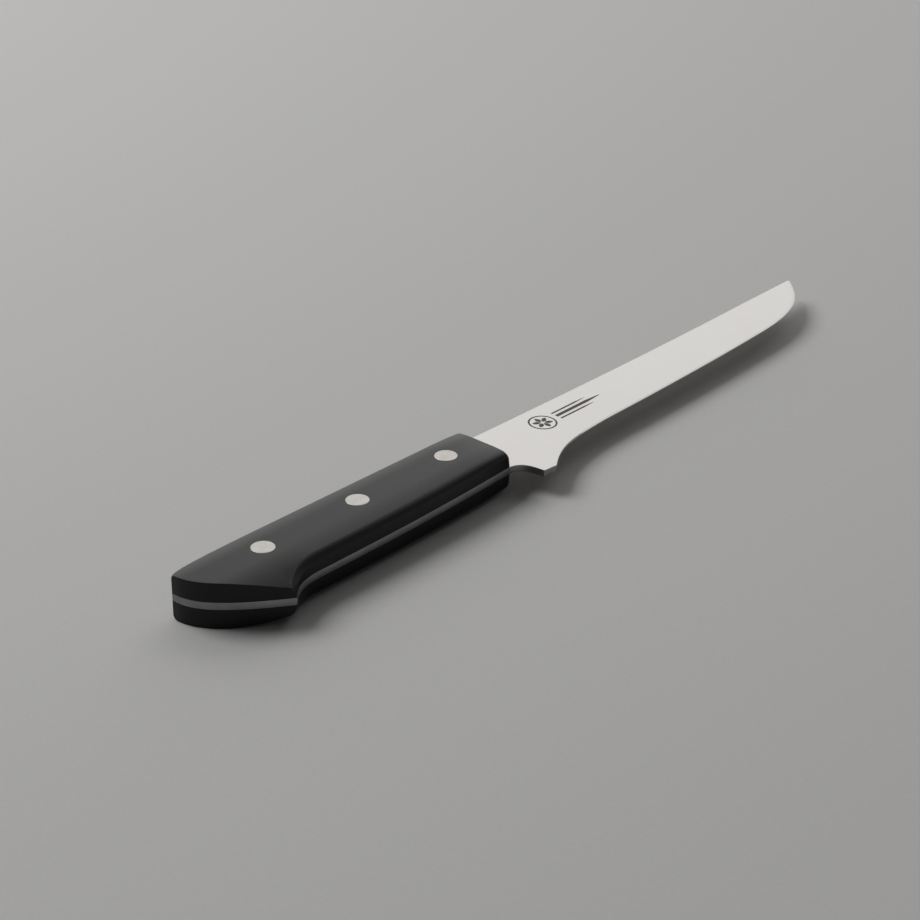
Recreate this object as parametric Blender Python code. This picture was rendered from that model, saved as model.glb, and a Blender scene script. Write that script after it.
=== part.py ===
"""Boning knife: a full-tang blade between two handle scales, held by three two-part rivets.

Layout frame, in millimetres: X runs from the butt to the tip, Y from the cutting edge to the
spine and Z across the thickness. Its origin is the middle rivet, halfway through the tang.
The empty named knife carries the layout into the part's frame: the knife lies on its left scale
at Z = 0, with the origin under the middle of its bounding box.
"""
import math

import bmesh
import bpy
from mathutils import Vector
from mathutils.geometry import interpolate_bezier

MM = 0.001

# Driving dimensions
BLADE_LENGTH = 160.0          # from the front of the heel spur to the tip
STEEL_THICKNESS = 2.2         # of the tang and of the blade at the heel
TIP_THICKNESS = 1.2           # the spine tapers towards this at the tip
HANDLE_THICKNESS = 14.2
RIVET_PITCH = 37.0
RIVET_HEAD_DIAMETER = 7.0
RIVET_SHANK_DIAMETER = 5.0
RIVET_PIN_DIAMETER = 3.2
RIVET_HEAD_THICKNESS = 3.1
RIVET_BORE_FLOOR = 1.0        # solid steel left in the female half's head, under its bore
RIVET_END_GAP = 0.4           # past the end of the pin, and past the end of the tube
FIT_GAP = 0.1                 # between touching pieces: an adhesive film or a push fit

# Outline corners
BUTT_X = -64.1
BUTT_LOW_Y, BUTT_HIGH_Y = 5.6, 7.4
HANDLE_SPINE_Y = 10.05
BEAK = (-42.9, -19.3)         # the hook at the rear of the belly
SCALE_FRONT_X = 53.0
CHOIL = (53.1, -11.25)
SPUR_REAR = (58.1, -20.25)
SPUR_FRONT = (63.2, -20.6)
TIP_X = SPUR_FRONT[0] + BLADE_LENGTH
TIP_TOP_Y = 11.1
TIP_BOTTOM_Y = 10.6

# Blade grind
GRIND_START_X = 58.0          # full thickness to here, then the flat grind fades in
GRIND_FULL_X = 94.0
SHOULDER_THICKNESS = 0.5      # above the edge bevel
EDGE_THICKNESS = 0.1
BEVEL_WIDTH = 0.5
WIDEST_BEVEL_SHARE = 0.4      # of the blade's width, where the tip narrows
BEVEL_START_X = 66.0
FULL_GRIND_WIDTH = 16.0       # a narrower blade, in the tip's sweep, thins towards its spine too

# Scale shape
LAND_LOW_Y, LAND_HIGH_Y = -4.5, 3.3     # flat strip along the middle, round the rivet heads
BELLY_CROWN_RATE, BEAK_CROWN_RATE = 0.0105, 0.0155      # drop in mm per square mm outside it
SPINE_CROWN_RATE = 0.018
BELLY_EDGE = (1.7, 1.5, 1.5)            # width, depth and fullness of the rounding there
FRONT_EDGE = (2.4, 1.6, 2.0)            # at the front end it is softer
BEAK_EDGE = (1.3, 2.2, 1.2)             # at the beak it is a steep, nearly flat bevel
BEAK_FADE_LENGTH = 15.0
SHORTEST_ROUNDING = 0.4
SPINE_RADIUS_REAR, SPINE_RADIUS_FRONT = 1.15, 2.4
FRONT_TAPER = 0.6             # how much lower the outer face is at the front
FRONT_TAPER_LENGTH = 15.0
FRONT_RADIUS = 1.1
FRONT_SIDE_SHARE = 0.35       # of that rounding, on the scale's two sides
FRONT_SLANT = 0.12            # the front face leans back by this much per mm of height
FRONT_SLANT_LENGTH = 6.0

TURNED_SEGMENTS = 24
RIVET_CHAMFER = 0.15
CUTTER_OVERRUN = 1.0          # how far a hole's cutter runs past the faces it opens

TANG_HALF = STEEL_THICKNESS / 2
SCALE_INNER_Z = TANG_HALF + FIT_GAP
SCALE_OUTER_Z = HANDLE_THICKNESS / 2
RIVET_PLACES = {"rear": -RIVET_PITCH, "middle": 0.0, "front": RIVET_PITCH}

STEEL = ("blade steel", (0.62, 0.61, 0.59), 0.28, 1.0)
SCALE_BLACK = ("black handle scale", (0.012, 0.012, 0.013), 0.38, 0.0)
RIVET_STEEL = ("rivet steel", (0.60, 0.58, 0.56), 0.34, 1.0)


def curve(start, handle_a, handle_b, end, steps):
    """Points of a cubic Bezier, without its first point."""
    knots = [Vector(point) for point in (start, handle_a, handle_b, end)]
    points = interpolate_bezier(knots[0], knots[1], knots[2], knots[3], steps + 1)
    return [(point.x, point.y) for point in points[1:]]


def handle_lower_outline():
    """The butt and the belly, from the butt's top corner forward to the end of the handle."""
    butt_low = (BUTT_X, BUTT_LOW_Y)
    belly_rear = (-28.0, -13.35)
    points = [butt_low]
    points += curve(butt_low, (-63.85, -1.15), (-59.3, -7.8), BEAK, 12)
    points += curve(BEAK, (-37.5, -13.1), (-29.8, -13.35), belly_rear, 7)
    points += curve(belly_rear, (3.8, -13.4), (17.9, -13.4), CHOIL, 10)
    return points


def blade_lower_outline():
    """The finger choil, the heel spur and the cutting edge, forward to the tip."""
    heel_end = (100.4, -10.55)
    sweep_start = (184.1, -7.5)
    tip_bottom = (TIP_X, TIP_BOTTOM_Y)
    points = curve(CHOIL, (57.0, -12.3), (57.7, -14.9), SPUR_REAR, 7)
    points += [SPUR_FRONT]
    points += curve(SPUR_FRONT, (70.3, -15.55), (77.5, -11.1), heel_end, 9)
    points += curve(heel_end, (127.9, -10.2), (156.5, -9.4), sweep_start, 8)
    points += curve(sweep_start, (209.0, -5.6), (215.3, 2.3), tip_bottom, 14)
    return points


HANDLE_LOWER = handle_lower_outline()
KNIFE_LOWER = HANDLE_LOWER + blade_lower_outline()
SPINE = [(BUTT_X, BUTT_HIGH_Y)]
SPINE += curve(SPINE[0], (-63.2, 9.2), (-57.0, HANDLE_SPINE_Y), (-38.0, HANDLE_SPINE_Y), 10)
SPINE += [(SCALE_FRONT_X, HANDLE_SPINE_Y)]
SPINE += curve(SPINE[-1], (112.3, 8.9), (163.7, 8.85), (TIP_X, TIP_TOP_Y), 24)


def height_at(outline, x):
    """The outline's Y at x, by straight lines between its points."""
    for (x0, y0), (x1, y1) in zip(outline[:-1], outline[1:]):
        if x <= x1:
            return y0 + (y1 - y0) * (x - x0) / (x1 - x0)
    return outline[-1][1]


def slope_at(outline, x):
    """The outline's slope around x."""
    step = 0.5
    return (height_at(outline, x + step) - height_at(outline, x - step)) / (2 * step)


def ramp(x, start, end):
    """0 before start, 1 after end, and smooth between them."""
    t = min(max((x - start) / (end - start), 0.0), 1.0)
    return t * t * (3 - 2 * t)


def mix(a, b, t):
    return a + (b - a) * t


def material(recipe):
    name, colour, roughness, metallic = recipe
    made = bpy.data.materials.get(name) or bpy.data.materials.new(name)
    made.use_nodes = True
    shader = made.node_tree.nodes["Principled BSDF"]
    shader.inputs["Base Color"].default_value = (*colour, 1.0)
    shader.inputs["Roughness"].default_value = roughness
    shader.inputs["Metallic"].default_value = metallic
    return made


def solid(name, bodies, recipe, parent):
    """One object from bodies, each a list of rings of layout points, capped at both ends."""
    bm = bmesh.new()
    for rings in bodies:
        made = [[bm.verts.new(Vector(point) * MM) for point in ring] for ring in rings]
        for ring, following in zip(made[:-1], made[1:]):
            for i in range(len(ring)):
                j = (i + 1) % len(ring)
                bm.faces.new((ring[i], ring[j], following[j], following[i]))
        bm.faces.new(made[0])
        bm.faces.new(made[-1])
    bmesh.ops.recalc_face_normals(bm, faces=bm.faces)
    mesh = bpy.data.meshes.new(name)
    bm.to_mesh(mesh)
    bm.free()
    mesh.shade_smooth()
    mesh.set_sharp_from_angle(angle=math.radians(25))
    made_object = bpy.data.objects.new(name, mesh)
    mesh.materials.append(material(recipe))
    bpy.context.collection.objects.link(made_object)
    made_object.parent = parent
    return made_object


def turned_rings(profile, x):
    """Rings of a solid turned about a Z axis through (x, 0), one for each (radius, z)."""
    turn = 2 * math.pi / TURNED_SEGMENTS
    return [[(x + radius * math.cos(turn * i), radius * math.sin(turn * i), z)
             for i in range(TURNED_SEGMENTS)] for radius, z in profile]


def cut_rivet_holes(target, profile, parent):
    """Takes the same turned hole out of target at each rivet."""
    holes = [turned_rings(profile, x) for x in RIVET_PLACES.values()]
    cutter = solid(target.name + "_hole_cutter", holes, STEEL, parent)
    cutter.hide_render = True
    cutter.display_type = "WIRE"
    boolean = target.modifiers.new("rivet holes", "BOOLEAN")
    boolean.operation = "DIFFERENCE"
    boolean.solver = "EXACT"
    boolean.object = cutter


def blade_section(x, low):
    """Ring across the blade or tang at x: edge, bevel shoulder and spine, on both faces."""
    spine = height_at(SPINE, x)
    width = spine - low
    bevel = min(BEVEL_WIDTH, WIDEST_BEVEL_SHARE * width)
    full_half = mix(TANG_HALF, TIP_THICKNESS / 2, max(x - GRIND_START_X, 0) / (TIP_X - GRIND_START_X))
    shoulder_half = mix(full_half, SHOULDER_THICKNESS / 2, ramp(x, GRIND_START_X, GRIND_FULL_X))
    spine_half = mix(shoulder_half, full_half, min(width / FULL_GRIND_WIDTH, 1.0))
    edge_half = mix(shoulder_half, EDGE_THICKNESS / 2, ramp(x, BEVEL_START_X, GRIND_FULL_X))
    side = [(low, edge_half), (low + bevel, shoulder_half), (spine, spine_half)]
    return [(x, y, z) for y, z in side] + [(x, y, -z) for y, z in reversed(side)]


def make_blade(parent):
    rings = [blade_section(x, low) for x, low in KNIFE_LOWER]
    blade = solid("blade_and_tang", [rings], STEEL, parent)
    hole = RIVET_SHANK_DIAMETER / 2 + FIT_GAP
    cut_rivet_holes(blade, [(hole, -2 * TANG_HALF), (hole, 2 * TANG_HALF)], parent)


def belly_wall(x, low):
    """Y of the wall under the belly's edge, run on straight behind the beak, and how much
    longer that edge measures along Y than square to the wall."""
    slope = slope_at(HANDLE_LOWER, max(x, BEAK[0] + 0.5))
    wall = low if x >= BEAK[0] else BEAK[1] + slope * (x - BEAK[0])
    return wall, math.hypot(1, slope)


def belly_edge(x):
    """Width, depth and fullness of the belly's rounded edge at x."""
    beak_end = BEAK[0] + BEAK_FADE_LENGTH
    from_beak = ramp(x, BEAK[0], beak_end)
    to_front = ramp(x, beak_end, SCALE_FRONT_X)
    return [mix(mix(at_beak, along, from_beak), in_front, to_front)
            for at_beak, along, in_front in zip(BEAK_EDGE, BELLY_EDGE, FRONT_EDGE)]


def spine_radius(x):
    along = min(max((x + RIVET_PITCH) / (2 * RIVET_PITCH), 0.0), 1.0)
    return mix(SPINE_RADIUS_REAR, SPINE_RADIUS_FRONT, along)


def edge_drop(distance, width, depth, fullness=2.0):
    """How far an edge lies below its face, at a distance in from the wall. Its fullness is 2
    for a round edge and 1 for a flat bevel."""
    share = min(max(1 - distance / width, 0.0), 1.0)
    return depth * (1 - (1 - share ** fullness) ** (1 / fullness))


def scale_height(x, y, low, spine):
    """Height of a scale's outer face above the tang's middle plane."""
    from_beak = ramp(x, BEAK[0], BEAK[0] + BEAK_FADE_LENGTH)
    belly_rate = mix(BEAK_CROWN_RATE, BELLY_CROWN_RATE, from_beak)
    crown = belly_rate * max(LAND_LOW_Y - y, 0.0) ** 2
    crown += SPINE_CROWN_RATE * max(y - LAND_HIGH_Y, 0.0) ** 2
    into_taper = max(x - SCALE_FRONT_X + FRONT_TAPER_LENGTH, 0.0) / FRONT_TAPER_LENGTH
    wall, stretch = belly_wall(x, low)
    radius = spine_radius(x)
    return (SCALE_OUTER_Z - crown - FRONT_TAPER * into_taper ** 2
            - edge_drop((y - wall) / stretch, *belly_edge(x))
            - edge_drop(spine - y, radius, radius))


def scale_rows(x, low, spine):
    """The Y of each point across a scale's outer face, closer together on its roundings."""
    belly_steps, crown_steps, spine_steps = 4, 6, 3
    wall, stretch = belly_wall(x, low)
    belly_end = max(wall + stretch * belly_edge(x)[0], low + SHORTEST_ROUNDING)
    spine_start = spine - spine_radius(x)
    rows = [mix(belly_end, low, math.cos(math.pi / 2 * i / belly_steps))
            for i in range(belly_steps)]
    rows += [mix(belly_end, spine_start, i / crown_steps) for i in range(crown_steps)]
    rows += [mix(spine_start, spine, math.sin(math.pi / 2 * i / spine_steps))
             for i in range(spine_steps + 1)]
    return rows


def scale_section(x, inset, side):
    """Ring across one scale at x, with its outer face drawn in by inset at the front edge.

    side is +1 for the right scale and -1 for the left.
    """
    low = height_at(HANDLE_LOWER, x) + FRONT_SIDE_SHARE * inset
    spine = height_at(SPINE, x) - FRONT_SIDE_SHARE * inset
    face = [(y, scale_height(x, y, low, spine) - inset) for y in scale_rows(x, low, spine)]
    section = [(low, SCALE_INNER_Z)] + face + [(spine, SCALE_INNER_Z)]
    slant = FRONT_SLANT * ramp(x, SCALE_FRONT_X - FRONT_SLANT_LENGTH, SCALE_FRONT_X)
    return [(x - slant * (z - SCALE_INNER_Z), y, side * z) for y, z in section]


def scale_stations():
    """Where a scale's sections stand, as (x, inset): along the outline, then round the front."""
    round_start = SCALE_FRONT_X - FRONT_RADIUS
    stations = [(x, 0.0) for x, _ in HANDLE_LOWER if x < round_start - FRONT_RADIUS]
    for degrees in (0, 30, 60, 90):
        angle = math.radians(degrees)
        stations.append((round_start + FRONT_RADIUS * math.sin(angle),
                         FRONT_RADIUS * (1 - math.cos(angle))))
    return stations


def make_scale(name, side, parent):
    rings = [scale_section(x, inset, side) for x, inset in scale_stations()]
    scale = solid(name, [rings], SCALE_BLACK, parent)
    shank_hole = RIVET_SHANK_DIAMETER / 2 + FIT_GAP
    head_hole = RIVET_HEAD_DIAMETER / 2 + FIT_GAP
    floor = SCALE_OUTER_Z - RIVET_HEAD_THICKNESS - FIT_GAP
    start, end = SCALE_INNER_Z - CUTTER_OVERRUN, SCALE_OUTER_Z + CUTTER_OVERRUN
    hole = [(shank_hole, side * start), (shank_hole, side * floor),
            (head_hole, side * floor), (head_hole, side * end)]
    cut_rivet_holes(scale, hole, parent)


def head_profile():
    """A rivet head from its chamfered outer face down to its underside."""
    radius = RIVET_HEAD_DIAMETER / 2
    return [(radius - RIVET_CHAMFER, SCALE_OUTER_Z), (radius, SCALE_OUTER_Z - RIVET_CHAMFER),
            (radius, SCALE_OUTER_Z - RIVET_HEAD_THICKNESS)]


def make_rivet(place, x, parent):
    """The male half is headed on the right and its pin fills the female half's bore."""
    head_floor = SCALE_OUTER_Z - RIVET_HEAD_THICKNESS
    bore = RIVET_PIN_DIAMETER / 2 + FIT_GAP
    shank = RIVET_SHANK_DIAMETER / 2
    bore_end = RIVET_BORE_FLOOR - head_floor
    tube_end = head_floor - RIVET_END_GAP
    pin_end = bore_end + RIVET_END_GAP
    pin = [(RIVET_PIN_DIAMETER / 2, head_floor), (RIVET_PIN_DIAMETER / 2, pin_end)]
    male = head_profile() + pin
    female = [(radius, -z) for radius, z in head_profile()]
    female += [(shank, -head_floor), (shank, tube_end), (bore, tube_end), (bore, bore_end)]
    solid(place + "_rivet_male", [turned_rings(male, x)], RIVET_STEEL, parent)
    solid(place + "_rivet_female", [turned_rings(female, x)], RIVET_STEEL, parent)


def clear_scene():
    for old in list(bpy.data.objects):
        bpy.data.objects.remove(old, do_unlink=True)


def make_frame():
    """The empty that lays the layout frame on its side, centred over the part's origin."""
    frame = bpy.data.objects.new("knife", None)
    xs = [x for x, _ in KNIFE_LOWER]
    ys = [y for _, y in KNIFE_LOWER + SPINE]
    middle = Vector(((min(xs) + max(xs)) / 2, (min(ys) + max(ys)) / 2, -SCALE_OUTER_Z))
    frame.location = -middle * MM
    bpy.context.collection.objects.link(frame)
    return frame


def build_knife():
    clear_scene()
    knife = make_frame()
    make_blade(knife)
    make_scale("right_scale", 1, knife)
    make_scale("left_scale", -1, knife)
    for place, x in RIVET_PLACES.items():
        make_rivet(place, x, knife)


build_knife()
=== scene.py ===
"""Boning knife: the fine meshes, materials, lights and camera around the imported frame.

Layout coordinates are the knife's own, in millimetres: X from the butt to the tip, Y from the
cutting edge to the spine and Z across the thickness, from the middle rivet on the tang's mid-plane.
"""
import math

import bmesh
import bpy
import numpy as np
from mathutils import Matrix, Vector
from mathutils.geometry import interpolate_bezier


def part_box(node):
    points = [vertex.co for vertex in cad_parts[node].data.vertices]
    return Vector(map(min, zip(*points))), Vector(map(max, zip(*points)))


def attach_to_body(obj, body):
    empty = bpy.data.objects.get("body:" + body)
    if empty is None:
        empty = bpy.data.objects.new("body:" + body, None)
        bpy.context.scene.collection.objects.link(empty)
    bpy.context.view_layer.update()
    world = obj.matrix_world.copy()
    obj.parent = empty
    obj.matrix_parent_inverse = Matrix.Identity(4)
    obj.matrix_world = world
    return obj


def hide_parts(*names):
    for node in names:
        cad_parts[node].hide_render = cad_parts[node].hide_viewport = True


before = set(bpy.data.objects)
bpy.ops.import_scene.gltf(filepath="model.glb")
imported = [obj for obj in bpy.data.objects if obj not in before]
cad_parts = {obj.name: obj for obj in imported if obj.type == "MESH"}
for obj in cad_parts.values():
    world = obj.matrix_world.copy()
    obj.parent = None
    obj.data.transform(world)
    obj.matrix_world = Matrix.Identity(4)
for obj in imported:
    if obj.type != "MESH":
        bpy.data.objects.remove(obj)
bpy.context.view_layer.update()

MM = 0.001


def middle(node):
    low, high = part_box(node)
    return (low + high) / 2


ORIGIN = Vector((*middle("middle_rivet_male").xy, middle("blade_and_tang").z))


def to_layout(point):
    return (point - ORIGIN) / MM


# Sizes read from the frame, in layout millimetres
BLADE_LOW, BLADE_HIGH = [to_layout(corner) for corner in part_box("blade_and_tang")]
SCALE_HIGH = to_layout(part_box("right_scale")[1])
RIVET_LOW, RIVET_HIGH = [to_layout(corner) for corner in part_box("middle_rivet_male")]
BUTT_X, TIP_X = BLADE_LOW.x, BLADE_HIGH.x
TANG_HALF = BLADE_HIGH.z
SCALE_OUTER_Z = SCALE_HIGH.z
SCALE_FRONT_X = SCALE_HIGH.x
HEAD_RADIUS = (RIVET_HIGH.x - RIVET_LOW.x) / 2
PIN_END_Z = RIVET_LOW.z
RIVET_PLACES = {place: to_layout(middle(place + "_rivet_male")).x
                for place in ("rear", "middle", "front")}

# Outline corners, as in the frame
BUTT_LOW_Y, BUTT_HIGH_Y = 5.6, 7.4
HANDLE_SPINE_Y = 10.05
BEAK = (-42.9, -19.3)
BELLY_REAR = (-28.0, -13.35)
CHOIL = (53.1, -11.25)
SPUR_REAR = (58.1, -20.25)
SPUR_FRONT = (63.2, -20.6)
HEEL_END = (100.4, -10.55)
SWEEP_START = (184.1, -7.5)
TIP_TOP_Y, TIP_BOTTOM_Y = 11.1, 10.6
TIP_ROUNDING, TIP_ROUND_SHARE = 0.9, 0.85    # its length, and its share of the step above
BEAK_FILLET, SPUR_FILLET = 0.35, 0.3

# Blade grind: where it starts and is full, and the half thicknesses it leaves
GRIND_START_X, GRIND_FULL_X = 58.0, 94.0
FULL_GRIND_WIDTH = 16.0
TIP_HALF = 0.6                # the spine at the tip, before the narrowing there thins it
SHOULDER_HALF = 0.25          # above the edge bevel
EDGE_HALF = 0.05              # the edge itself
BEVEL_START_X = SPUR_FRONT[0] - 1
BEVEL_WIDTH, TIP_BEVEL_WIDTH = 0.5, 0.75
WIDEST_BEVEL = 0.6            # as a share of the blade's width
HONED_START_X, HONED_SHARE = HEEL_END[0] - 15, 0.97     # the part of the bevel that is honed

# Blade corners
TANG_CORNER = 0.05            # softening of the tang's edges, flush with the scales
SPINE_CORNER = 0.2            # and of the blade's spine, choil and spur
CORNER_CHANGE_START_X, CORNER_CHANGE_END_X = SCALE_FRONT_X - 1, SCALE_FRONT_X + 2
LOWER_CORNER_BULGE = 0.18     # rounds the lower corner where it isn't ground to an edge
WIDEST_CORNER, DEEPEST_CORNER = 0.3, 0.6     # as shares of the width and the half thickness

# Scale shape
GLUE_LINE = 0.02
SCALE_INNER_Z = TANG_HALF + GLUE_LINE
LAND_LOW_Y, LAND_HIGH_Y = -4.5, 3.3     # the flat strip between the crowns
# A crown's drop, for each square millimetre of the distance past that strip
BELLY_CROWN_RATE, BEAK_CROWN_RATE, SPINE_CROWN_RATE = 0.0105, 0.0155, 0.018
BELLY_EDGE = (1.7, 1.5, 1.5)  # width, depth and fullness of the lower edge's rounding
FRONT_EDGE = (2.4, 1.6, 2.0)
BEAK_EDGE, BEAK_FADE_LENGTH = (1.3, 2.2, 1.2), 15.0
BELLY_RUN_ON = 6.0            # for its rounding, the belly runs straight on behind the beak
BUTT_RADIUS = 0.2
SPINE_RADIUS_REAR, SPINE_RADIUS_FRONT = 1.15, 2.4
FRONT_TAPER, FRONT_TAPER_LENGTH = 0.6, 15.0    # how far the face sinks towards the front
FRONT_RADIUS, FRONT_SIDE_SHARE = 1.1, 0.35     # the sides draw in by a share of it
FRONT_SLANT, FRONT_SLANT_LENGTH = 0.12, 6.0    # the front wall leans back as it rises
DISH_DEPTH, DISH_WIDTH = 0.02, 1.3   # hollow sanded round each rivet head

# Rivets
HEAD_THICKNESS = 3.1
HEAD_FIT = 0.03
SHANK_RADIUS, PIN_RADIUS, SHANK_FIT = 2.5, 1.6, 0.05
HEAD_EDGE = 0.15
TUBE_CHAMFER = 0.3
PIN_END_GAP = 0.2             # left under the pin in its bore
TUBE_END_GAP = 0.4            # left between the female half's tube and the male half's head
TURNED_SEGMENTS = 96

# Meshes
CORNER_DEGREES = (0, 30, 60, 90)      # rows round a small corner
FLAT_RINGS = (0.05, 0.5, 0.9)         # rings on a rivet head's flat face, as shares of it
SHARP_DEGREES, RIVET_SHARP_DEGREES = 50, 40     # edges steeper than this aren't smoothed
CUTTER_START_Z, CUTTER_OVERRUN = 0.5, 1.0       # a scale's cutter, inside the tang and outside
BELLY_ROWS_REACH, BUTT_ROWS_REACH = 1.25, 2.5   # rows crowd over this many roundings' widths
WALL_ROW = 0.2                # a wall's own row, below the scale's face

# Etched ornament: a ring of petals with three tapering rules beside it
ORNAMENT_LOW, ORNAMENT_HIGH = 0.002, 0.012      # above the blade's face
ORNAMENT_CENTRE = (82.0, 1.2)
RING_RADIUS, RING_WIDTH = 4.6, 0.6
PETALS, PETAL_LENGTH, PETAL_HALF_WIDTH, PETAL_ROOT = 6, 3.5, 0.8, 0.12
RULES_START_X = 88.4
RULES = ((3.2, 104.0, 0.7), (1.2, 109.0, 1.3), (-0.8, 104.0, 0.7))      # y, end x, width

# Camera: where it looks on the floor, and from where
TARGET = Vector((-0.0218, 0.0181, 0.0))
VIEW_AZIMUTH, VIEW_ELEVATION = -47.54, 27.5
VIEW_DISTANCE = 0.7784
LENS, SENSOR = 100.0, 36.0

# How bright the studio's walls are as fill light, and in what the knife reflects
WALLS_AS_FILL, WALLS_IN_REFLECTIONS = 0.05, 0.32


# Outlines -----------------------------------------------------------------------------------

def curve(start, handle_a, handle_b, end, spacing):
    """Points of a cubic Bezier, without its first point."""
    knots = [Vector(point) for point in (start, handle_a, handle_b, end)]
    steps = max(4, round((knots[3] - knots[0]).length / spacing))
    points = interpolate_bezier(knots[0], knots[1], knots[2], knots[3], steps + 1)
    return [(point.x, point.y) for point in points[1:]]


def between(start, end, shares):
    """Points at some shares of the way along a straight line."""
    return [tuple(Vector(start).lerp(Vector(end), share)) for share in shares]


def fillet(before, after, size, steps=6):
    """Joins two runs of points that meet at before's last point, with that corner rounded off."""
    corner = Vector(before[-1])
    kept_before = [p for p in before if (Vector(p) - corner).length > size]
    kept_after = [p for p in after if (Vector(p) - corner).length > size]
    start = corner + (Vector(kept_before[-1]) - corner).normalized() * size
    end = corner + (Vector(kept_after[0]) - corner).normalized() * size
    pull = 0.45
    arc = interpolate_bezier(start, corner + (start - corner) * pull,
                             corner + (end - corner) * pull, end, steps)
    return kept_before + [(p.x, p.y) for p in arc] + kept_after


def butt_outline():
    """From the butt's top corner down and forward to the beak, denser at its start."""
    start = (BUTT_X, BUTT_LOW_Y)
    butt = [start] + curve(start, (-63.85, -1.15), (-59.3, -7.8), BEAK, spacing=0.5)
    return butt[:1] + between(butt[0], butt[1], (0.05, 0.12, 0.22, 0.4, 0.65)) + butt[1:]


def belly_outline():
    """From the beak forward to the end of the handle."""
    belly = curve(BEAK, (-37.5, -13.1), (-29.8, -13.35), BELLY_REAR, spacing=0.45)
    return belly + curve(BELLY_REAR, (3.8, -13.4), (17.9, -13.4), CHOIL, spacing=0.6)


def blade_lower_outline():
    """The finger choil, the heel spur and the cutting edge, forward to the tip."""
    choil = curve(CHOIL, (57.0, -12.3), (57.7, -14.9), SPUR_REAR, spacing=0.3)
    spur = between(SPUR_REAR, SPUR_FRONT, (0.25, 0.5, 0.75, 1.0))
    heel = curve(SPUR_FRONT, (70.3, -15.55), (77.5, -11.1), HEEL_END, spacing=0.6)
    edge = curve(HEEL_END, (127.9, -10.2), (156.5, -9.4), SWEEP_START, spacing=1.5)
    sweep = curve(SWEEP_START, (209.0, -5.6), (215.3, 2.3), (TIP_X, TIP_BOTTOM_Y), spacing=0.5)
    return fillet(fillet(choil, spur, SPUR_FILLET), heel, SPUR_FILLET) + edge + sweep


BUTT, BELLY = butt_outline(), belly_outline()
HANDLE_LOWER = fillet(BUTT, BELLY, BEAK_FILLET)
KNIFE_LOWER = HANDLE_LOWER + blade_lower_outline()
SPINE = [(BUTT_X, BUTT_HIGH_Y)]
SPINE += curve(SPINE[0], (-63.2, 9.2), (-57.0, HANDLE_SPINE_Y), (-38.0, HANDLE_SPINE_Y),
               spacing=0.4)
SPINE += [(SCALE_FRONT_X, HANDLE_SPINE_Y)]
SPINE += curve(SPINE[-1], (112.3, 8.9), (163.7, 8.85), (TIP_X, TIP_TOP_Y), spacing=1.5)


def height_at(outline, x):
    """The outline's Y at x, by straight lines between its points."""
    for (x0, y0), (x1, y1) in zip(outline[:-1], outline[1:]):
        if x <= x1:
            return y0 + (y1 - y0) * (x - x0) / max(x1 - x0, 1e-6)
    return outline[-1][1]


def nearest(outline, points):
    """For each point, how far away the outline is, and the X of the spot on it that is nearest."""
    start, end = np.array(outline[:-1]), np.array(outline[1:])
    run = end - start
    offset = points[:, None, :] - start
    share = np.clip((offset * run).sum(-1) / np.maximum((run ** 2).sum(-1), 1e-12), 0, 1)
    foot = start + run * share[..., None]
    gap = np.linalg.norm(points[:, None, :] - foot, axis=-1)
    best = gap.argmin(1)
    rows = np.arange(len(points))
    return gap[rows, best], foot[rows, best, 0]


def ramp(x, start, end):
    """0 before start, 1 after end, and smooth between them."""
    t = min(max((x - start) / (end - start), 0.0), 1.0)
    return t * t * (3 - 2 * t)


def mix(a, b, t):
    return a + (b - a) * t


# Mesh building ------------------------------------------------------------------------------

def loft(bm, rings, creases=()):
    """A closed body through rings of layout points. The rows numbered in creases stay sharp."""
    made = [[bm.verts.new(ORIGIN + Vector(point) * MM) for point in ring] for ring in rings]
    size = len(made[0])
    for ring, following in zip(made[:-1], made[1:]):
        for i in range(size):
            j = (i + 1) % size
            bm.faces.new((ring[i], ring[j], following[j], following[i]))
    bm.faces.new(made[0])
    bm.faces.new(made[-1])
    for ring, following in zip(made[:-1], made[1:]):
        for row in creases:
            bm.edges.get((ring[row], following[row])).smooth = False
    for ring in (made[0], made[-1]):
        for i in range(size):
            bm.edges.get((ring[i], ring[(i + 1) % size])).smooth = False


def finish_mesh(name, bm, sharp_degrees=SHARP_DEGREES):
    """An object from bm, smooth but for its creases and its steepest edges."""
    bmesh.ops.recalc_face_normals(bm, faces=bm.faces)
    for face in bm.faces:
        face.smooth = True
    mark_sharp(bm, sharp_degrees)
    mesh = bpy.data.meshes.new(name)
    bm.to_mesh(mesh)
    bm.free()
    made = bpy.data.objects.new(name, mesh)
    bpy.context.collection.objects.link(made)
    return made


def mark_sharp(bm, degrees):
    limit = math.radians(degrees)
    for edge in bm.edges:
        if edge.is_manifold and edge.calc_face_angle() > limit:
            edge.smooth = False


def turned_rings(profile, x):
    """Rings of a solid turned about a Z axis through (x, 0), one for each (radius, z)."""
    turn = 2 * math.pi / TURNED_SEGMENTS
    return [[(x + radius * math.cos(turn * i), radius * math.sin(turn * i), z)
             for i in range(TURNED_SEGMENTS)] for radius, z in profile]


def cut_rivet_holes(target, profile):
    """Takes the same turned hole out of target at each rivet, and keeps its sharp edges."""
    bm = bmesh.new()
    for x in RIVET_PLACES.values():
        loft(bm, turned_rings(profile, x))
    cutter = finish_mesh("hole_cutter", bm)
    boolean = target.modifiers.new("rivet holes", "BOOLEAN")
    boolean.operation = "DIFFERENCE"
    boolean.solver = "EXACT"
    boolean.object = cutter
    evaluated = target.evaluated_get(bpy.context.evaluated_depsgraph_get())
    cut_mesh = bpy.data.meshes.new_from_object(evaluated)
    target.modifiers.clear()
    target.data = cut_mesh
    bpy.data.objects.remove(cutter, do_unlink=True)
    bm = bmesh.new()
    bm.from_mesh(cut_mesh)
    mark_sharp(bm, SHARP_DEGREES)
    bm.to_mesh(cut_mesh)
    bm.free()


# Blade --------------------------------------------------------------------------------------

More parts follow.
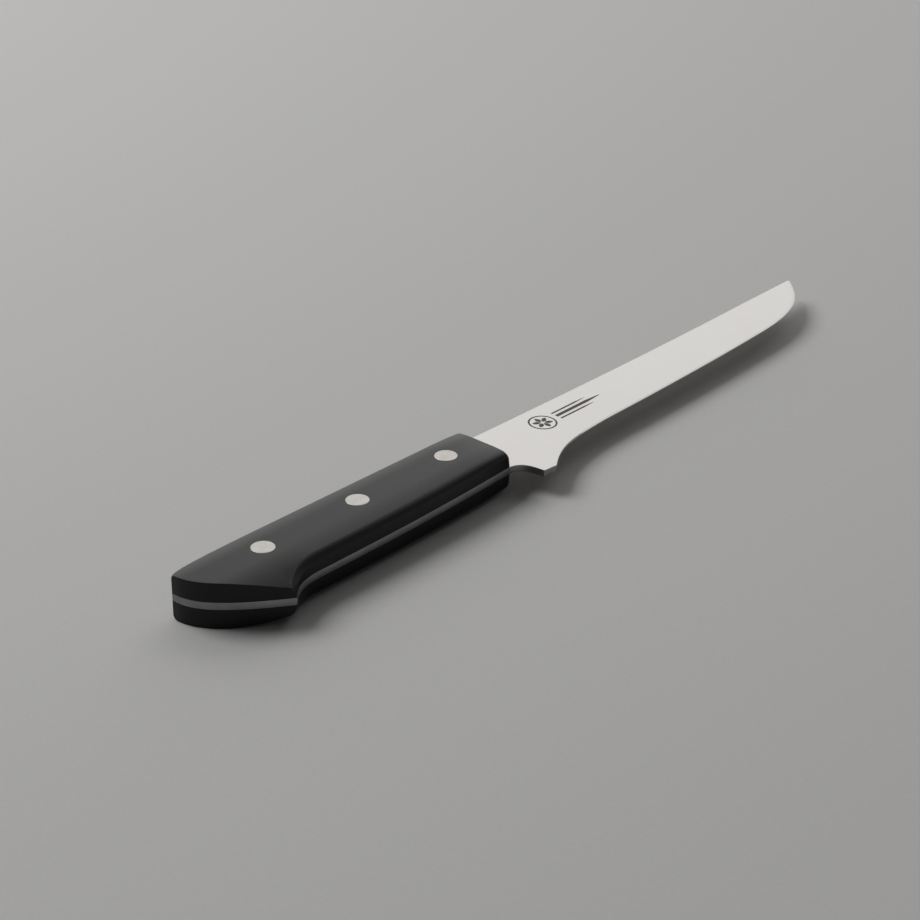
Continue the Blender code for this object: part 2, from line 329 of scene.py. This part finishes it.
def spine_at(x):
    """The spine's height, with the tip rounded over."""
    into_tip = min(max(x - (TIP_X - TIP_ROUNDING), 0.0) / TIP_ROUNDING, 1.0)
    drop = (TIP_TOP_Y - TIP_BOTTOM_Y) * TIP_ROUND_SHARE * (1 - math.sqrt(1 - into_tip ** 2))
    return height_at(SPINE, x) - drop


def halves_at(x, width):
    """Half thicknesses above the edge bevel and at the spine. Where the blade narrows in the
    tip's sweep, the spine thins with it."""
    full = mix(TANG_HALF, TIP_HALF, max(x - GRIND_START_X, 0) / (TIP_X - GRIND_START_X))
    shoulder = mix(full, SHOULDER_HALF, ramp(x, GRIND_START_X, GRIND_FULL_X))
    return shoulder, mix(shoulder, full, min(width / FULL_GRIND_WIDTH, 1.0))


def bevel_height_at(x):
    """How far up the blade the edge bevel reaches: it is as wide square to the edge where the
    edge climbs to the tip, and opens out there."""
    reach = 0.3
    rise = height_at(KNIFE_LOWER, x + reach) - height_at(KNIFE_LOWER, x - reach)
    slope = rise / (2 * reach)
    wide = mix(BEVEL_WIDTH, TIP_BEVEL_WIDTH, ramp(x, SWEEP_START[0], TIP_X))
    return wide * math.hypot(1, slope) if x > SWEEP_START[0] else wide


def blade_side(x, low):
    """(y, half thickness) from the cutting edge up to the spine."""
    spine = spine_at(x)
    width = spine - low
    shoulder_half, spine_half = halves_at(x, width)
    ground = ramp(x, BEVEL_START_X, GRIND_FULL_X)
    past_scale = ramp(x, CORNER_CHANGE_START_X, CORNER_CHANGE_END_X)
    corner = mix(TANG_CORNER, SPINE_CORNER, past_scale)
    bevel = min(mix(corner, bevel_height_at(x), ground), WIDEST_BEVEL * width)
    edge_half = mix(shoulder_half - corner, EDGE_HALF, ground)
    bulge = LOWER_CORNER_BULGE * (1 - ground)
    side = [(low, edge_half)]
    for t in (1 / 3, 2 / 3, 1.0):
        out = math.sin(math.pi * t) * bulge
        side.append((low + bevel * (t - out), mix(edge_half, shoulder_half, t + out)))
    spine_corner = min(corner, WIDEST_CORNER * width, DEEPEST_CORNER * spine_half)
    for degrees in CORNER_DEGREES:
        angle = math.radians(degrees)
        side.append((spine - spine_corner * (1 - math.sin(angle)),
                     spine_half - spine_corner * (1 - math.cos(angle))))
    return side


def blade_section(x, low):
    side = blade_side(x, low)
    return [(x, y, z) for y, z in side] + [(x, y, -z) for y, z in reversed(side)]


def blade_face_z(x, y):
    """Height of the blade's flat right face above the mid-plane."""
    low, spine = height_at(KNIFE_LOWER, x), spine_at(x)
    bevel = bevel_height_at(x)
    return mix(*halves_at(x, spine - low), (y - low - bevel) / (spine - low - bevel))


def make_blade():
    bm = bmesh.new()
    rings = [blade_section(x, low) for x, low in KNIFE_LOWER]
    shoulder = 3
    loft(bm, rings, creases=(shoulder, len(rings[0]) - 1 - shoulder))
    blade = finish_mesh("steel_blade", bm)
    hole = SHANK_RADIUS + SHANK_FIT
    cut_rivet_holes(blade, [(hole, -2 * TANG_HALF), (hole, 2 * TANG_HALF)])
    return blade


def choose_blade_finishes(blade):
    """Satin faces (0), rougher ground edges behind the bevel and on the spine, darkened as painted
    shade (1), and the honed bevel (2)."""
    for face in blade.data.polygons:
        x, y, _ = to_layout(face.center)
        bevel_top = height_at(KNIFE_LOWER, x) + HONED_SHARE * bevel_height_at(x)
        upright = abs(face.normal.z) < 0.5
        if upright and (x < HEEL_END[0] or face.normal.y > 0):
            face.material_index = 1
        elif x > HONED_START_X and y < bevel_top:
            face.material_index = 2


# Handle scales ------------------------------------------------------------------------------

def belly_edge(x):
    """Width, depth and fullness of the belly's rounded edge, at the outline's own x."""
    beak_end = BEAK[0] + BEAK_FADE_LENGTH
    from_beak = ramp(x, BEAK[0], beak_end)
    to_front = ramp(x, beak_end, SCALE_FRONT_X)
    return [mix(mix(at_beak, along, from_beak), in_front, to_front)
            for at_beak, along, in_front in zip(BEAK_EDGE, BELLY_EDGE, FRONT_EDGE)]


def spine_radius(x):
    rear, front = RIVET_PLACES["rear"], RIVET_PLACES["front"]
    along = min(max((x - rear) / (front - rear), 0.0), 1.0)
    return mix(SPINE_RADIUS_REAR, SPINE_RADIUS_FRONT, along)


def edge_drop(distance, width, depth, fullness=2.0):
    """How far an edge lies below its face, at a distance in from the wall. Its fullness is 2
    for a round edge and 1 for a flat bevel."""
    share = min(max(1 - distance / width, 0.0), 1.0)
    return depth * (1 - (1 - share ** fullness) ** (1 / fullness))


def dish(x, y):
    """Depth of the shallow hollow round the nearest rivet head."""
    reach = min(math.hypot(x - place, y) for place in RIVET_PLACES.values()) - HEAD_RADIUS
    return DISH_DEPTH * math.exp(-(max(reach, 0.0) / DISH_WIDTH) ** 2)


BUTT_WALL = [(BUTT_X, BUTT_HIGH_Y)] + BUTT
BEHIND_BEAK = Vector(BEAK) + (Vector(BEAK) - Vector(BELLY[0])).normalized() * BELLY_RUN_ON
BELLY_WALL = [tuple(BEHIND_BEAK), BEAK] + BELLY
SPINE_WALL = [point for point in SPINE if point[0] <= SCALE_FRONT_X]


def scale_heights(points, draw_in):
    """Heights of a scale's outer face at points, drawn in at its sides by draw_in."""
    below = np.array(points) - np.array((0.0, draw_in))
    above = np.array(points) + np.array((0.0, draw_in))
    butt_gap, _ = nearest(BUTT_WALL, below)
    belly_gap, belly_x = nearest(BELLY_WALL, below)
    spine_gap, spine_x = nearest(SPINE_WALL, above)
    heights = []
    for i, (x, y) in enumerate(points):
        from_beak = ramp(x, BEAK[0], BEAK[0] + BEAK_FADE_LENGTH)
        belly_rate = mix(BEAK_CROWN_RATE, BELLY_CROWN_RATE, from_beak)
        crown = belly_rate * max(LAND_LOW_Y - y, 0.0) ** 2
        crown += SPINE_CROWN_RATE * max(y - LAND_HIGH_Y, 0.0) ** 2
        into_taper = max(x - SCALE_FRONT_X + FRONT_TAPER_LENGTH, 0.0) / FRONT_TAPER_LENGTH
        radius = spine_radius(spine_x[i])
        edge = math.hypot(edge_drop(butt_gap[i], BUTT_RADIUS, BUTT_RADIUS),
                          edge_drop(belly_gap[i], *belly_edge(belly_x[i])),
                          edge_drop(spine_gap[i], radius, radius))
        heights.append(SCALE_OUTER_Z - crown - FRONT_TAPER * into_taper ** 2 - edge - dish(x, y))
    return heights


def row_shares(length, lower_reach, spine_reach):
    """Shares of the way across a scale, closer together on its roundings."""
    lower_steps, land_steps, spine_steps = 9, 34, 9
    widest = 0.4
    lower_share = min(lower_reach / length, widest)
    spine_share = min(spine_reach / length, widest)
    rows = [lower_share * (1 - math.cos(math.pi / 2 * i / lower_steps))
            for i in range(lower_steps)]
    rows += [mix(lower_share, 1 - spine_share, i / land_steps) for i in range(land_steps)]
    rows += [1 - spine_share * (1 - math.sin(math.pi / 2 * i / spine_steps))
             for i in range(spine_steps + 1)]
    return rows


def scale_stations():
    """(foot on the lower outline, foot on the spine, inset) of each section, fanned at the butt."""
    lower = [Vector(point) for point in HANDLE_LOWER]
    travel = [0.0]
    for before, after in zip(lower[:-1], lower[1:]):
        travel.append(travel[-1] + (after - before).length)
    fan_end = next(i for i, point in enumerate(lower) if point.x >= BELLY_REAR[0])
    round_start = SCALE_FRONT_X - FRONT_RADIUS
    stations = []
    for i, point in enumerate(lower):
        if point.x >= round_start:
            break
        share = min(travel[i] / travel[fan_end], 1.0)
        spine_x = mix(BUTT_X, lower[fan_end].x, share) if i < fan_end else point.x
        stations.append((point, Vector((spine_x, height_at(SPINE, spine_x))), 0.0))
    for degrees in range(0, 91, 9):
        angle = math.radians(degrees)
        x = round_start + FRONT_RADIUS * math.sin(angle)
        inset = FRONT_RADIUS * (1 - math.cos(angle))
        draw_in = FRONT_SIDE_SHARE * inset
        stations.append((Vector((x, height_at(HANDLE_LOWER, x) + draw_in)),
                         Vector((x, height_at(SPINE, x) - draw_in)), inset))
    return stations


def scale_section(foot, head, inset, side):
    """Ring across one scale from foot on the belly to head on the spine. side is +1 for the
    right scale and -1 for the left."""
    across = head - foot
    lower_reach = belly_edge(foot.x)[0] * BELLY_ROWS_REACH
    if foot.x < BEAK[0]:
        near_beak = ramp(foot.x, BEAK[0] - 3, BEAK[0] - 1)
        lower_reach = mix(BUTT_RADIUS * BUTT_ROWS_REACH, lower_reach, near_beak)
    shares = row_shares(across.length, lower_reach, spine_radius(head.x))
    rows = [tuple(foot + across * share) for share in shares]
    heights = scale_heights(rows, FRONT_SIDE_SHARE * inset)
    face = [(x, y, z - inset) for (x, y), z in zip(rows, heights)]
    section = [(*foot, SCALE_INNER_Z), (*foot, face[0][2] - WALL_ROW)] + face
    section += [(*head, face[-1][2] - WALL_ROW), (*head, SCALE_INNER_Z)]
    slant = FRONT_SLANT * ramp(foot.x, SCALE_FRONT_X - FRONT_SLANT_LENGTH, SCALE_FRONT_X)
    return [(x - slant * (z - SCALE_INNER_Z), y, side * z) for x, y, z in section]


def make_scale(name, side):
    bm = bmesh.new()
    loft(bm, [scale_section(foot, head, inset, side) for foot, head, inset in scale_stations()])
    scale = finish_mesh(name, bm)
    floor = SCALE_OUTER_Z - HEAD_THICKNESS - HEAD_FIT
    shank_hole, head_hole = SHANK_RADIUS + SHANK_FIT, HEAD_RADIUS + HEAD_FIT
    top = SCALE_OUTER_Z + CUTTER_OVERRUN
    cut_rivet_holes(scale, [(shank_hole, side * CUTTER_START_Z), (shank_hole, side * floor),
                            (head_hole, side * floor), (head_hole, side * top)])
    return scale


# Rivets -------------------------------------------------------------------------------------

def head_profile():
    """A rivet head from the middle of its outer face out and down to its underside."""
    flat = HEAD_RADIUS - HEAD_EDGE
    profile = [(flat * share, SCALE_OUTER_Z) for share in FLAT_RINGS]
    for degrees in CORNER_DEGREES:
        angle = math.radians(degrees)
        profile.append((flat + HEAD_EDGE * math.sin(angle),
                        SCALE_OUTER_Z - HEAD_EDGE * (1 - math.cos(angle))))
    return profile + [(HEAD_RADIUS, SCALE_OUTER_Z - HEAD_THICKNESS)]


def make_rivet(place, x):
    """The male half is headed on the right and its pin fills the female half's bore."""
    head_floor = SCALE_OUTER_Z - HEAD_THICKNESS
    bore, bore_end = PIN_RADIUS + SHANK_FIT, PIN_END_Z - PIN_END_GAP
    male = head_profile() + [(PIN_RADIUS, head_floor), (PIN_RADIUS, PIN_END_Z + TUBE_CHAMFER),
                             (PIN_RADIUS - TUBE_CHAMFER, PIN_END_Z)]
    tube_end = head_floor - TUBE_END_GAP
    female = [(radius, -z) for radius, z in head_profile()]
    female += [(SHANK_RADIUS, -head_floor), (SHANK_RADIUS, tube_end - TUBE_CHAMFER),
               (SHANK_RADIUS - TUBE_CHAMFER, tube_end), (bore, tube_end), (bore, bore_end)]
    halves = {}
    for half, profile in (("male", male), ("female", female)):
        bm = bmesh.new()
        loft(bm, turned_rings(profile, x))
        halves[half] = finish_mesh(f"{place}_rivet_{half}_half", bm, RIVET_SHARP_DEGREES)
    return halves


# Etched ornament ----------------------------------------------------------------------------

def add_inlay(bm, pairs):
    """A thin strip on the blade's face between two edges, given as pairs of (x, y) points."""
    rings = []
    for a, b in pairs:
        corners = ((a, ORNAMENT_LOW), (b, ORNAMENT_LOW), (b, ORNAMENT_HIGH), (a, ORNAMENT_HIGH))
        rings.append([(x, y, blade_face_z(x, y) + lift) for (x, y), lift in corners])
    loft(bm, rings)


def on_circle(centre, radius, degrees):
    angle = math.radians(degrees)
    return centre[0] + radius * math.cos(angle), centre[1] + radius * math.sin(angle)


def add_ring(bm, centre, radius, width):
    """A ring in two halves, so that each is a simple strip."""
    for start in (0, 180):
        add_inlay(bm, [(on_circle(centre, radius, turn), on_circle(centre, radius - width, turn))
                       for turn in range(start, start + 181, 6)])


def add_petal(bm, centre, length, half_width, degrees):
    """A pointed petal out from near the centre."""
    axis = Vector((math.cos(math.radians(degrees)), math.sin(math.radians(degrees))))
    side = Vector((-axis.y, axis.x))
    pairs = []
    steps = 16
    for step in range(1, steps):
        share = step / steps
        spread = half_width * math.sin(math.pi * share)
        spot = Vector(centre) + axis * length * mix(PETAL_ROOT, 1, share)
        pairs.append((tuple(spot + side * spread), tuple(spot - side * spread)))
    add_inlay(bm, pairs)


def add_rule(bm, start_x, end_x, y, width):
    """A thin rule along the blade, tapered towards its far end."""
    steps, taper_start, taper = 40, 0.7, 0.8
    pairs = []
    for step in range(steps + 1):
        share = step / steps
        into_taper = max(share - taper_start, 0) / (1 - taper_start)
        half = width / 2 * (1 - taper * into_taper)
        x = mix(start_x, end_x, share)
        pairs.append(((x, y - half), (x, y + half)))
    add_inlay(bm, pairs)


def make_ornament():
    bm = bmesh.new()
    add_ring(bm, ORNAMENT_CENTRE, RING_RADIUS, RING_WIDTH)
    for petal in range(PETALS):
        degrees = 360 / PETALS * (petal + 0.5)
        add_petal(bm, ORNAMENT_CENTRE, PETAL_LENGTH, PETAL_HALF_WIDTH, degrees)
    for y, end_x, width in RULES:
        add_rule(bm, RULES_START_X, end_x, y, width)
    return finish_mesh("blade_ornament", bm)


# Materials ----------------------------------------------------------------------------------

class Nodes:
    """Short names for the nodes of one material."""

    def __init__(self, name, colour, roughness, metallic):
        self.material = bpy.data.materials.new(name)
        self.material.use_nodes = True
        self.tree = self.material.node_tree
        self.shader = self.tree.nodes["Principled BSDF"]
        self.shader.inputs["Base Color"].default_value = (*colour, 1)
        self.shader.inputs["Roughness"].default_value = roughness
        self.shader.inputs["Metallic"].default_value = metallic
        self.place = self.tree.nodes.new("ShaderNodeTexCoord").outputs["Object"]

    def noise(self, size, stretch=(1, 1, 1), detail=3.0):
        """Noise with features about size millimetres across, longer where stretch is larger."""
        mapping = self.tree.nodes.new("ShaderNodeMapping")
        mapping.inputs["Scale"].default_value = [1 / (size * MM * s) for s in stretch]
        self.tree.links.new(self.place, mapping.inputs["Vector"])
        made = self.tree.nodes.new("ShaderNodeTexNoise")
        made.inputs["Scale"].default_value = 1.0
        made.inputs["Detail"].default_value = detail
        self.tree.links.new(mapping.outputs["Vector"], made.inputs["Vector"])
        return made.outputs["Fac"]

    def spread(self, value, low, high, from_low=0.3, from_high=0.7):
        """value, carried from the middle of its range to between low and high."""
        made = self.tree.nodes.new("ShaderNodeMapRange")
        made.inputs["From Min"].default_value = from_low
        made.inputs["From Max"].default_value = from_high
        made.inputs["To Min"].default_value = low
        made.inputs["To Max"].default_value = high
        self.tree.links.new(value, made.inputs["Value"])
        return made.outputs["Result"]

    def add(self, a, b):
        made = self.tree.nodes.new("ShaderNodeMath")
        self.tree.links.new(a, made.inputs[0])
        self.tree.links.new(b, made.inputs[1])
        return made.outputs["Value"]

    def colour(self, value, low, high):
        """Base colour between two tones, by value."""
        made = self.tree.nodes.new("ShaderNodeMix")
        made.data_type = "RGBA"
        made.inputs["A"].default_value = (*low, 1)
        made.inputs["B"].default_value = (*high, 1)
        self.tree.links.new(value, made.inputs["Factor"])
        self.tree.links.new(made.outputs["Result"], self.shader.inputs["Base Color"])

    def roughness(self, value):
        self.tree.links.new(value, self.shader.inputs["Roughness"])

    def bump(self, value, depth, below=None):
        """A normal for a relief about depth millimetres high, on top of the normal below."""
        made = self.tree.nodes.new("ShaderNodeBump")
        made.inputs["Strength"].default_value = 1.0
        made.inputs["Distance"].default_value = depth * MM
        self.tree.links.new(value, made.inputs["Height"])
        if below:
            self.tree.links.new(below, made.inputs["Normal"])
        return made.outputs["Normal"]

    def normal(self, value):
        self.tree.links.new(value, self.shader.inputs["Normal"])


def blade_steel():
    """Satin steel, ground from spine to edge, with faint uneven polish."""
    steel = Nodes("satin blade steel", (0.51, 0.5, 0.485), 0.3, 1.0)
    lines = steel.noise(0.12, (1, 60, 8))
    fine_lines = steel.noise(0.05, (1, 160, 8), detail=1.0)
    cloud = steel.noise(16.0, (1.6, 1, 1))
    steel.colour(steel.spread(cloud, 0, 1), (0.5, 0.487, 0.472), (0.522, 0.513, 0.5))
    steel.roughness(steel.add(steel.spread(lines, 0.27, 0.33), steel.spread(cloud, -0.02, 0.02)))
    steel.normal(steel.bump(fine_lines, 0.0012, below=steel.bump(lines, 0.0015)))
    return steel.material


def ground_edge_steel_painted_shade():
    """The sides of the tang, choil and spur: ground across their thickness and left rougher, with a
    darker base colour that is painted shade, for the shadowed floor these walls reflect.
    """
    steel = Nodes("ground edge steel with painted shade", (0.24, 0.24, 0.251), 0.42, 1.0)
    lines = steel.noise(0.08, (1, 1, 30))
    cloud = steel.noise(6.0)
    # these dark tones are painted shade, standing in for the shadowed floor that the walls mirror
    steel.colour(steel.spread(cloud, 0, 1), (0.212, 0.212, 0.223), (0.267, 0.267, 0.279))
    steel.roughness(steel.spread(lines, 0.38, 0.48))
    steel.normal(steel.bump(lines, 0.002))
    return steel.material


def honed_steel():
    """The edge bevel, honed square to the edge and greyer than the faces."""
    steel = Nodes("honed bevel steel", (0.5, 0.495, 0.485), 0.34, 1.0)
    lines = steel.noise(0.06, (1, 20, 20))
    steel.colour(steel.spread(lines, 0, 1), (0.45, 0.445, 0.435), (0.54, 0.535, 0.525))
    steel.roughness(steel.spread(lines, 0.3, 0.4))
    steel.normal(steel.bump(lines, 0.0015))
    return steel.material


def rivet_steel():
    """Softer steel, sanded flush along the handle."""
    steel = Nodes("sanded rivet steel", (0.43, 0.415, 0.4), 0.36, 1.0)
    scratches = steel.noise(0.06, (40, 1, 1))
    cloud = steel.noise(1.2, (2, 1, 1))
    steel.colour(steel.spread(cloud, 0, 1), (0.39, 0.375, 0.357), (0.475, 0.458, 0.437))
    steel.roughness(steel.add(steel.spread(scratches, 0.32, 0.4), steel.spread(cloud, -0.03, 0.03)))
    steel.normal(steel.bump(scratches, 0.002))
    return steel.material


def handle_black():
    """Black moulded composite, sanded along its length to a dull satin."""
    black = Nodes("black handle scale", (0.012, 0.012, 0.013), 0.4, 0.0)
    grain = black.noise(0.18, detail=4.0)
    sanding = black.noise(0.09, (30, 1, 1))
    cloud = black.noise(9.0, (2, 1, 1))
    black.colour(black.spread(cloud, 0, 1), (0.004, 0.004, 0.0042), (0.0065, 0.0065, 0.0067))
    black.shader.inputs["Specular IOR Level"].default_value = 0.24
    black.roughness(black.add(black.spread(grain, 0.26, 0.32), black.spread(cloud, -0.02, 0.02)))
    black.normal(black.bump(sanding, 0.0015, below=black.bump(grain, 0.003)))
    return black.material


def etched_dark():
    """The dark oxide of an etched mark, uneven as the etching leaves it."""
    etched = Nodes("etched ornament", (0.05, 0.045, 0.042), 0.55, 0.3)
    speckle = etched.noise(0.15)
    etched.colour(etched.spread(speckle, 0, 1), (0.035, 0.032, 0.03), (0.075, 0.068, 0.062))
    etched.roughness(etched.spread(speckle, 0.5, 0.65))
    return etched.material


def pale_floor():
    """Pale and matt, with a faint mottle."""
    floor = Nodes("pale floor", (0.72, 0.715, 0.705), 0.9, 0.0)
    mottle = floor.noise(1.5)
    floor.colour(floor.spread(mottle, 0, 1), (0.71, 0.705, 0.695), (0.73, 0.725, 0.715))
    floor.shader.inputs["Specular IOR Level"].default_value = 0.1
    return floor.material


# Stage --------------------------------------------------------------------------------------

def make_floor():
    half = 6.0
    corners = [(-half, -half, 0), (half, -half, 0), (half, half, 0), (-half, half, 0)]
    bm = bmesh.new()
    bm.faces.new([bm.verts.new(corner) for corner in corners])
    mesh = bpy.data.meshes.new("floor")
    bm.to_mesh(mesh)
    bm.free()
    floor = bpy.data.objects.new("floor", mesh)
    bpy.context.collection.objects.link(floor)
    mesh.materials.append(pale_floor())


def direction(azimuth, elevation):
    """A unit vector, azimuth anticlockwise from +X seen from above, in degrees."""
    a, e = math.radians(azimuth), math.radians(elevation)
    return Vector((math.cos(a) * math.cos(e), math.sin(a) * math.cos(e), math.sin(e)))


def softbox(name, azimuth, elevation, distance, size, power, colour=(1, 1, 1)):
    """A rectangular area light facing the knife: degrees, metres and watts."""
    light = bpy.data.lights.new(name, "AREA")
    light.shape = "RECTANGLE"
    light.size, light.size_y = size
    light.energy = power
    light.color = colour
    lamp = bpy.data.objects.new(name, light)
    towards = direction(azimuth, elevation)
    lamp.location = TARGET + towards * distance
    lamp.rotation_mode = "QUATERNION"
    lamp.rotation_quaternion = towards.to_track_quat("Z", "Y")
    bpy.context.collection.objects.link(lamp)


def make_lights():
    """A wide softbox that the knife's faces mirror, a smaller key light from over the spine, and
    a weak one from the tip."""
    mirrored = 90 + VIEW_AZIMUTH
    softbox("back_softbox", azimuth=mirrored + 3, elevation=27, distance=2.5, size=(4.0, 2.2),
            power=26.2, colour=(1.0, 0.99, 0.975))
    softbox("key_softbox", azimuth=112, elevation=48, distance=1.7, size=(0.9, 0.9), power=13)
    softbox("tip_softbox", azimuth=0, elevation=48, distance=1.7, size=(1.1, 0.75), power=1.3)


def make_studio_walls():
    """Dim walls that fill the shadows a little, and show more in what the steel reflects."""
    world = bpy.data.worlds.new("studio")
    world.use_nodes = True
    world.cycles.sampling_method = "NONE"      # no map is needed for one plain colour
    tree = world.node_tree
    path = tree.nodes.new("ShaderNodeLightPath")
    strength = tree.nodes.new("ShaderNodeMath")
    strength.operation = "MULTIPLY_ADD"
    strength.inputs[1].default_value = WALLS_IN_REFLECTIONS - WALLS_AS_FILL
    strength.inputs[2].default_value = WALLS_AS_FILL
    tree.links.new(path.outputs["Is Glossy Ray"], strength.inputs[0])
    tree.links.new(strength.outputs[0], tree.nodes["Background"].inputs["Strength"])
    tree.nodes["Background"].inputs["Color"].default_value = (1, 1, 1, 1)
    bpy.context.scene.world = world


def make_camera():
    camera = bpy.data.cameras.new("camera")
    camera.lens, camera.sensor_width = LENS, SENSOR
    camera.clip_start = 0.01
    viewer = bpy.data.objects.new("camera", camera)
    back = direction(VIEW_AZIMUTH - 90, VIEW_ELEVATION)
    viewer.location = TARGET + back * VIEW_DISTANCE
    viewer.rotation_mode = "QUATERNION"
    viewer.rotation_quaternion = back.to_track_quat("Z", "Y")
    bpy.context.collection.objects.link(viewer)
    bpy.context.scene.camera = viewer


# Assembly -----------------------------------------------------------------------------------

def attach(piece, finishes, node=None):
    """Gives the piece its materials, hangs it on the knife's one body and retires its CAD node."""
    piece.data.materials.clear()
    for finish in finishes:
        piece.data.materials.append(finish)
    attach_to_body(piece, "root")
    if node:
        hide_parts(node)


make_camera()
make_lights()
make_studio_walls()
make_floor()
bpy.context.scene.view_settings.view_transform = "Standard"

blade = make_blade()
attach(blade, [blade_steel(), ground_edge_steel_painted_shade(), honed_steel()], "blade_and_tang")
choose_blade_finishes(blade)
black = handle_black()
attach(make_scale("right_handle_scale", 1), [black], "right_scale")
attach(make_scale("left_handle_scale", -1), [black], "left_scale")
sanded = rivet_steel()
for place, x in RIVET_PLACES.items():
    for half, rivet in make_rivet(place, x).items():
        attach(rivet, [sanded], f"{place}_rivet_{half}")
attach(make_ornament(), [etched_dark()])
